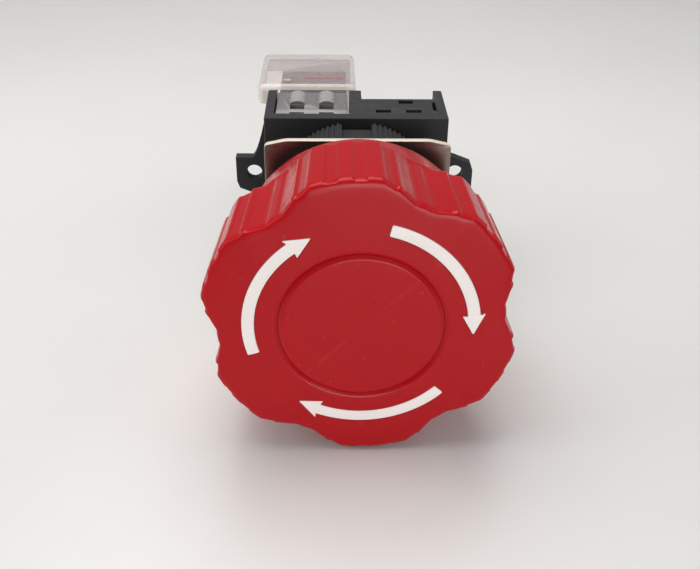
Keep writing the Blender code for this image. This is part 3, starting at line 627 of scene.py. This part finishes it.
def head_rings():
    """Rings of the head from the screw hole over the face, down the side and back inside."""
    lip = rounded([(12.03, -28.6), (12.03, -30.1), (12.58, -30.46), (13.4, -30.46)], 0.25, 4, sharp=(1,))
    rings = [plain_ring(radius, y) for radius, y in [(2.0, -26.6), (4.6, -26.6), (4.6, -28.6)] + lip]
    rings += [plain_ring(14.2, -30.42), plain_ring(15.4, -30.37)]
    edge = Vector((23.3, -28.8))
    shallow = ((16.6, -30.32, 0.1), (17.8, -30.27, 0.3), (19.0, -30.21, 0.55), (20.2, -30.16, 0.8))
    rings += [lobed_ring(radius - edge.x, y, share, 0) for radius, y, share in shallow]
    start, lean, reach = Vector((21.5, -30.09)), Vector((22.95, -30.02)), Vector((23.3, -29.8))
    steps = 12
    for step in range(steps + 1):
        t = step / steps
        point = cubic(start, lean, reach, edge, t)
        valleys, ribs = min(0.9 + 0.15 * t, 1), eased((t - 0.35) / 0.45)
        rings.append(lobed_ring(point.x - edge.x, point.y, valleys, ribs))
    rings += [lobed_ring(0, y) for y in spaced(edge.y, -16.0, 14)[1:]]
    rings += [lobed_ring(0, y) for y in spaced(-15.7, -13.0, 12)]
    rings += [lobed_ring(0, y) for y in spaced(-12.0, -7.0, 5)]
    rim = rounded([(18.9, -7.0), (18.62, -5.6), (18.2, -5.1), (16.9, -5.1)], 0.4, 3)[1:]
    inside = [(17.2, -8.0), (19.2, -25.0), (18.0, -27.0), (6.2, -27.0), (6.2, -25.2), (2.0, -25.2)]
    return rings + [plain_ring(radius, y) for radius, y in rim + inside]


def cubic(start, lean, reach, end, t):
    """A point on a cubic Bezier curve, from start to end as t goes from 0 to 1."""
    back = 1 - t
    return start * back ** 3 + lean * 3 * t * back ** 2 + reach * 3 * t * t * back + end * t ** 3


def spaced(first, last, count):
    """Evenly spaced values, both ends included."""
    return [first + (last - first) * step / (count - 1) for step in range(count)]


def plain_ring(radius, y):
    return ring_at(radius * MM, y * MM, HEAD_STEPS)


def lobed_ring(inset, y, valley_share=1, rib_share=1):
    """A ring on the side's outline, moved out by inset, with only a share of its valleys and ribs."""
    ring = []
    for step in range(HEAD_STEPS):
        angle = 360 * step / HEAD_STEPS
        x, z = polar((side_radius(angle, y, valley_share, rib_share) + inset) * MM, angle)
        ring.append((x, y * MM, z))
    return ring


def make_head():
    """The mushroom head, with a pocket in its face for each arrow."""
    pockets = []
    for number in range(ARROW_COUNT):
        outline = arrow_outline(number, 0.07 * MM)
        pockets.append(flat_piece("pocket", [outline], -33 * MM, -29.9 * MM, 0.02 * MM))
    mesh = combined(loft("head_shell", head_rings()), pockets)
    piece("head_shell", shade_round(mesh, 28), ["head_cap"])


def arrow_outline(number, grow):
    """A curved arrow that points clockwise, made larger by grow all round, its corners eased."""
    turn = number * 360 / ARROW_COUNT
    grow_deg = math.degrees(grow / ARROW_RADIUS)
    start = ARROW_START_DEG - grow_deg + turn
    neck = ARROW_NECK_DEG - grow_deg + turn
    tip = ARROW_TIP_DEG + 2 * grow_deg + turn
    steps = 40
    angles = [start + (neck - start) * step / steps for step in range(steps + 1)]
    half = ARROW_HALF_WIDTH + grow
    barb = ARROW_BARB + 1.5 * grow
    outer = [polar(ARROW_RADIUS + half, angle) for angle in angles]
    inner = [polar(ARROW_RADIUS - half, angle) for angle in reversed(angles)]
    back = neck - 1.0
    head = [polar(ARROW_RADIUS + barb, back), polar(ARROW_RADIUS, tip), polar(ARROW_RADIUS - barb, back)]
    return rounded(outer + head + inner, 0.26 * MM, 3, closed=True)


def make_face():
    """The white arrows, and the disc in the middle of the face."""
    for number in range(ARROW_COUNT):
        mesh = flat_piece("arrow", [arrow_outline(number, 0)], -30.34 * MM, -29.92 * MM, 0.07 * MM)
        piece(f"arrow_{number + 1}", mesh, [f"arrow_inlay_{number + 1}"])
    front = [(0, -30.5), (3, -30.5), (7, -30.5), (11.35, -30.5), (11.99, -30.12)]
    rear = [(12.0, -28.9), (10.6, -28.9), (10.6, -29.4), (0, -29.4)]
    profile = rounded(front + rear, 0.2, 4, sharp=(1, 2, 4))
    mesh = lathe("face_disc", [(radius * MM, y * MM) for radius, y in profile], 180, closed=False)
    piece("face_disc", mesh, ["centre_disc"])


# ---- The panel side ----

def make_barrel():
    """The bezel, and the barrel behind it with its thread drawn as one helix."""
    front = [(8.0, 4.6), (8.0, 8.0), (13.2, 8.0), (14.4, 7.4), (14.7, 6.4), (14.7, 1.3), (10.6, 1.3)]
    front = [(radius * MM, -y * MM) for radius, y in rounded(front, 0.3, 4)]
    rings = [ring_at(radius, y) for radius, y in front]
    first, last = -1.0, 13.9
    rows = 104
    for row in range(rows + 1):
        y = (first + (last - first) * row / rows) * MM
        rings.append([thread_point(step, y, last * MM) for step in range(BARREL_STEPS)])
    rear = [(10.5, 14.2), (10.1, 14.5), (3.1, 14.5), (3.1, 12.0), (8.0, 12.0)]
    rear += [(8.0, -3.0), (9.2, -3.0), (9.2, -4.6)]
    rings += [ring_at(radius * MM, y * MM) for radius, y in rear]
    piece("threaded_bezel", shade_round(loft("threaded_bezel", rings), 40), ["threaded_barrel"])


def thread_point(step, y, last):
    """A point on the thread, whose ridges fade out at the barrel's rear end."""
    turn = step / BARREL_STEPS
    phase = (y / THREAD_PITCH - turn) % 1
    height = clamp(abs(phase - 0.5) * 2.6 - 0.15)
    fade = eased((last + 0.3 * MM - y) / (1.2 * MM))
    radius = 10.9 * MM - THREAD_DEPTH * (1 - height * fade)
    x, z = polar(radius, 360 * turn)
    return x, y, z


def bore_outline():
    """The (x, z) outline of the hole around the thread."""
    steps = 90
    return [polar(BORE_RADIUS, 360 / steps * step) for step in range(steps)]


def make_gasket():
    low, high = corners("front_gasket")
    inner, outer = BORE_RADIUS, high.x
    section = [(inner, low.y), (outer, low.y), (outer, high.y), (inner, high.y)]
    profile = rounded(section, 0.22 * MM, 4, closed=True)
    piece("seal_ring", lathe("seal_ring", profile, 120), ["front_gasket"])


def make_plate():
    """A blanked steel plate: straight sides, shallow clipped corners and a little burr rounding."""
    low, high = corners("lock_plate")
    shoulder, corner = 11.9 * MM, 14.1 * MM
    right = [(shoulder, high.z), (high.x, corner), (high.x, -corner), (shoulder, -high.z)]
    outline = rounded(right + [(-x, z) for x, z in reversed(right)], 0.6 * MM, 4, closed=True)
    mesh = flat_piece("locking_plate", [outline, bore_outline()], low.y, high.y, 0.14 * MM)
    piece("locking_plate", mesh, ["lock_plate"])


def nut_outline():
    """Rounded ribs all round, with a straight notch for a spanner at each quarter."""
    radius, rib_depth = 14.5 * MM, 0.36 * MM
    half_notch, notch_floor = 2.6 * MM, 12.9 * MM
    root = radius - rib_depth
    edge_angle = math.degrees(math.asin(half_notch / root))
    floor_angle = math.degrees(math.atan2(half_notch, notch_floor))
    floor_reach = notch_floor / math.cos(math.radians(floor_angle))
    notch = [(root, -edge_angle), (floor_reach, -floor_angle)]
    notch += [(floor_reach, floor_angle), (root, edge_angle)]
    outline = []
    for quarter in range(4):
        turn = 90 * quarter
        for rib in range(NUT_RIBS // 4):
            for share, cut in NUT_RIB_SHAPE:
                distance, angle = radius - rib_depth * cut, (rib + share) * 360 / NUT_RIBS
                beyond_notch = min(polar(distance, angle)) > half_notch
                if beyond_notch:
                    outline.append(polar(distance, angle + turn))
        outline += [polar(distance, 90 + angle + turn) for distance, angle in notch]
    return outline


def make_nut():
    low, high = corners("mounting_nut")
    mesh = flat_piece("ribbed_nut", [nut_outline(), bore_outline()], low.y, high.y, 0.25 * MM)
    piece("ribbed_nut", mesh, ["mounting_nut"])


# ---- The contact block ----

def make_block():
    """The milky housing, with an arched hood behind each wire entry."""
    mesh = frame["nodes"]["block_housing"].data.copy()
    low, high = corners("block_housing")
    middle = (low.x + high.x) / 2
    hoods = []
    for side in (1, -1):
        for direction in (1, -1):
            hoods.append(hood(middle + direction * WIRE_ENTRY_X, side * (high.z - 1.25 * MM), side))
    mesh = combined(mesh, hoods, "UNION")
    made = piece("contact_block", rounded_edges(mesh, 0.22 * MM), ["block_housing"])
    settle(made)


def make_block_fittings():
    """Dark bars in the wire entries, painted shade for their dark insides, and what shows dimly through
    the cover.
    """
    low, high = corners("block_housing")
    middle = (low.x + high.x) / 2
    # Painted shade: black bars, with a plug in each wire entry, stand in for the entries' dark insides.
    for side, name in ((1, "entry_shade_upper"), (-1, "entry_shade_lower")):
        across = (low.x + 1.6 * MM, high.x - 1.6 * MM)
        mesh = entry_shade_bar(across, (15.5 * MM, 23.3 * MM), (10.7 * MM, 11.7 * MM), side)
        plugs = []
        for direction in (1, -1):
            x = middle + direction * WIRE_ENTRY_X
            across = (x - 1.2 * MM, x + 1.2 * MM)
            plugs.append(entry_shade_bar(across, (18.4 * MM, 20.3 * MM), (11.2 * MM, 13.4 * MM), side))
        dress(scratch_object(name, combined(mesh, plugs, "UNION")), "black_plastic", "block_housing")
    sunk = BLOCK_STEP_Z - 0.1 * MM
    bar_top, tab_top = BLOCK_STEP_Z + 0.35 * MM, BLOCK_STEP_Z + 0.5 * MM
    bar = block("bar", (-9.9 * MM, 39.7 * MM, sunk), (-2.2 * MM, 40.7 * MM, bar_top), 0.2 * MM)
    dress(scratch_object("red_marker_bar", bar), "red_plastic", "block_housing")
    tab = block("tab", (-14.2 * MM, 37.6 * MM, sunk), (-12.2 * MM, 40.4 * MM, tab_top), 0.25 * MM)
    dress(scratch_object("brass_tab", tab), "brass", "block_housing")


def entry_shade_bar(across, along, from_middle, side):
    """A bar from its (low, high) X, its (low, high) Y and its (near, far) heights on one side."""
    low_z, high_z = sorted(side * height for height in from_middle)
    return block("entry_shade", (across[0], along[0], low_z), (across[1], along[1], high_z), 0.15 * MM)


def dress(made, slot, beside):
    """Give an added piece its material and the body of the CAD node that it is fixed to."""
    made.data.materials.clear()
    made.data.materials.append(LOOKS[slot])
    shade_round(made.data)
    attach(made, BODY_OF[beside])


def hood(x, z, side):
    """A half-round ridge along Y, with eased edges."""
    radius = 2.0 * MM
    steps = 20
    outline = []
    for step in range(steps + 1):
        across, up = polar(radius, -90 + 180 * step / steps)
        outline.append((x + across, z + side * up))
    if side < 0:
        outline.reverse()
    return flat_piece("hood", [outline], 20.5 * MM, 25.9 * MM, 0.1 * MM)


def make_cover():
    """A thin clear box over the block's back, cut away beside the block, with a lip on its open front."""
    low, high = corners("terminal_cover")
    wall, beyond = 0.9 * MM, 5 * MM
    outer = block("clear_cover", low, high, 1.3 * MM, 5)
    inset = Vector((wall, wall, wall))
    inner = block("inside", low + inset, high - inset, 0.6 * MM, 3)
    mouth_low = (COVER_LEFT_WALL_X, low.y - beyond, low.z + wall)
    mouth = block("mouth", mouth_low, (high.x - wall, low.y + 2 * wall, high.z - wall), 0.3 * MM, 2)
    opening_low = (low.x - beyond, low.y - beyond, COVER_OPENING_Z[0])
    opening_high = (COVER_LEFT_WALL_X, high.y + beyond, COVER_OPENING_Z[1])
    opening = block("opening", opening_low, opening_high)
    mesh = combined(outer, [inner, mouth, opening])
    made = piece("clear_cover", rounded_edges(mesh, 0.12 * MM, 2), ["terminal_cover"])
    settle(made)


def spring_path(radius, low, high, turns, place):
    """Points of a compression spring whose end turns lie flat."""
    steps, closed_turns = 24, 0.8
    count = int(turns * steps)
    points = []
    for step in range(count + 1):
        turn = step / steps
        free = clamp((turn - closed_turns / 2) / (turns - closed_turns))
        angle = 2 * math.pi * turn
        along = low + (high - low) * free
        points.append(place(radius * math.cos(angle), radius * math.sin(angle), along))
    return points


def make_spring(name, node, radius, wire_radius, turns, axis, joint=None, travel=0.0):
    """A coil spring in its CAD node's place, given a mesh of its own when it has a joint."""
    low, high = corners(node)
    middle = (low + high) / 2

    def along_y(a, b, along):
        return middle.x + a, along, middle.z + b

    def along_z(a, b, along):
        return middle.x + a, middle.y + b, along

    index, place = (1, along_y) if axis.y else (2, along_z)
    ends = sorted((low[index] + wire_radius, high[index] - wire_radius))
    made = piece(name, wire(name, spring_path(radius, *ends, turns, place), wire_radius), [node])
    if joint is not None:
        anchor = middle.copy()
        anchor[index] = high[index] if travel > 0 else low[index]
        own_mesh(made)


def make_springs():
    y_axis, z_axis = Vector((0, 1, 0)), Vector((0, 0, 1))
    push = 4 * MM
    make_spring("head_spring", "return_spring", 9.1 * MM, 0.5 * MM, 5, y_axis, "push", push)
    make_spring("plunger_return", "plunger_spring", 2.4 * MM, 0.3 * MM, 7, y_axis, "plunger_slide", push)
    make_spring("bridge_press", "bridge_spring", 1.6 * MM, 0.2 * MM, 4, y_axis)
    for end, lift in (("top", 0.61 * MM), ("bottom", -0.61 * MM)):
        name, node, joint = f"latch_press_{end}", f"latch_spring_{end}", f"latch_{end}_slide"
        make_spring(name, node, 0.7 * MM, 0.14 * MM, 4, z_axis, joint, lift)


def make_terminal_screw(name):
    """A pan-head screw with a straight slot, facing the back."""
    low, high = corners(name)
    x, z = (low.x + high.x) / 2, (low.z + high.z) / 2
    head, shank = (high.x - low.x) / 2, 1.0 * MM
    under = high.y - 1.7 * MM
    points = [(0, low.y), (shank - 0.3 * MM, low.y), (shank, low.y + 0.3 * MM), (shank, under)]
    points += [(head, under), (head, high.y - 0.7 * MM)]
    points += [(head - 0.35 * MM, high.y - 0.15 * MM), (0, high.y)]
    profile = rounded(points, 0.12 * MM, 3)
    mesh = lathe(name + "_fine", profile, 48, closed=False, centre=(x, z))
    slot_low = (x - 2 * MM, high.y - 0.8 * MM, z - 0.28 * MM)
    slot_high = (x + 2 * MM, high.y + 1 * MM, z + 0.28 * MM)
    slot = block("slot", slot_low, slot_high)
    piece(name + "_fine", shade_round(combined(mesh, [slot])), [name])


make_head()
make_face()
make_barrel()
make_gasket()
make_plate()
make_nut()
make_block()
make_block_fittings()
make_cover()
make_springs()
for end in ("upper", "lower"):
    make_terminal_screw(f"{end}_terminal_screw")
    refined(f"{end}_terminal", 0.12 * MM)
    refined(f"{end}_saddle_washer", 0.2 * MM)
refined("contact_base", 0.28 * MM)
refined("contact_plunger", 0.15 * MM)
refined("contact_bridge", 0.12 * MM)
refined("pusher_plate", 0.3 * MM)
refined("retaining_clip", 0.1 * MM, 2)
refined("push_stem", 0.2 * MM)
refined("cap_screw", 0.12 * MM, 2)
refined("stem_seal", 0.2 * MM)
refined("latch_guide", 0.2 * MM)
refined("latch_pin_top", 0.1 * MM, 2)
refined("latch_pin_bottom", 0.1 * MM, 2)


# ---- Floor, light and camera ----

def make_floor():
    """A pale sheet that the head's rim and the cover's rear edge lie on, level again further back."""
    head_low, _ = corners("head_cap")
    cover_low, cover_high = corners("terminal_cover")
    rim_y = -27.6 * MM
    front = Vector((rim_y, head_low.z))
    rear = Vector((cover_high.y, cover_low.z))
    slope = (rear.y - front.y) / (rear.x - front.x)
    level_from, turn_length = rear.x + 8 * MM, 60 * MM
    half_width, near, far = 3.0, -0.9, 2.4
    rows = 240
    work = bmesh.new()
    lines = []
    for row in range(rows + 1):
        y = near + (far - near) * (row / rows)
        past = y - level_from
        if past > 0:
            run = min(past, turn_length)
            rise = slope * (level_from - front.x + run - run * run / (2 * turn_length))
        else:
            rise = slope * (y - front.x)
        z = front.y + rise
        lines.append([work.verts.new((x, y, z)) for x in (-half_width, half_width)])
    for first, second in zip(lines, lines[1:]):
        work.faces.new((first[0], first[1], second[1], second[0]))
    mesh = bpy.data.meshes.new("floor")
    work.to_mesh(mesh)
    work.free()
    mesh.shade_smooth()
    mesh.materials.append(floor_material())
    floor = scratch_object("floor", mesh)


def area_light(name, location, target, size, watts, colour=(1, 1, 1)):
    """A rectangular soft light that faces its target."""
    data = bpy.data.lights.new(name, "AREA")
    data.shape = "RECTANGLE"
    data.size, data.size_y = size
    data.energy = watts
    data.color = colour
    made = scratch_object(name, data)
    made.location = location
    made.rotation_euler = (Vector(target) - Vector(location)).to_track_quat("-Z", "Y").to_euler()


def make_lights():
    world = bpy.data.worlds.new("studio")
    bpy.context.scene.world = world
    world.use_nodes = True
    background = world.node_tree.nodes["Background"]
    background.inputs["Color"].default_value = (0.97, 0.98, 1.0, 1)
    background.inputs["Strength"].default_value = 0.24
    origin, warm = (0, 0, 0), (1.0, 0.99, 0.97)
    area_light("overhead_softbox", (-0.05, 0.05, 0.33), (0, -0.02, 0), (0.36, 0.28), 1.15, warm)
    area_light("left_softbox", (-0.55, -0.05, 0.3), origin, (0.35, 0.5), 1.1)
    area_light("right_softbox", (0.55, 0.05, 0.3), origin, (0.35, 0.5), 0.7)
    area_light("front_fill", (0.12, -0.75, 0.04), origin, (0.5, 0.3), 2.5)


def make_camera():
    """The camera at the photo's place and angle."""
    data = bpy.data.cameras.new("camera")
    data.sensor_width = 36.0
    data.lens = 47.13
    data.clip_start = 0.01
    data.clip_end = 20.0
    camera = scratch_object("camera", data)
    camera.location = (-0.00384, -0.13843, 0.07488)
    camera.rotation_euler = Euler([math.radians(angle) for angle in (58.005, -0.554, -0.806)])
    bpy.context.scene.camera = camera


bpy.context.scene.view_settings.view_transform = "Standard"
make_floor()
make_lights()
make_camera()
bpy.context.view_layer.update()
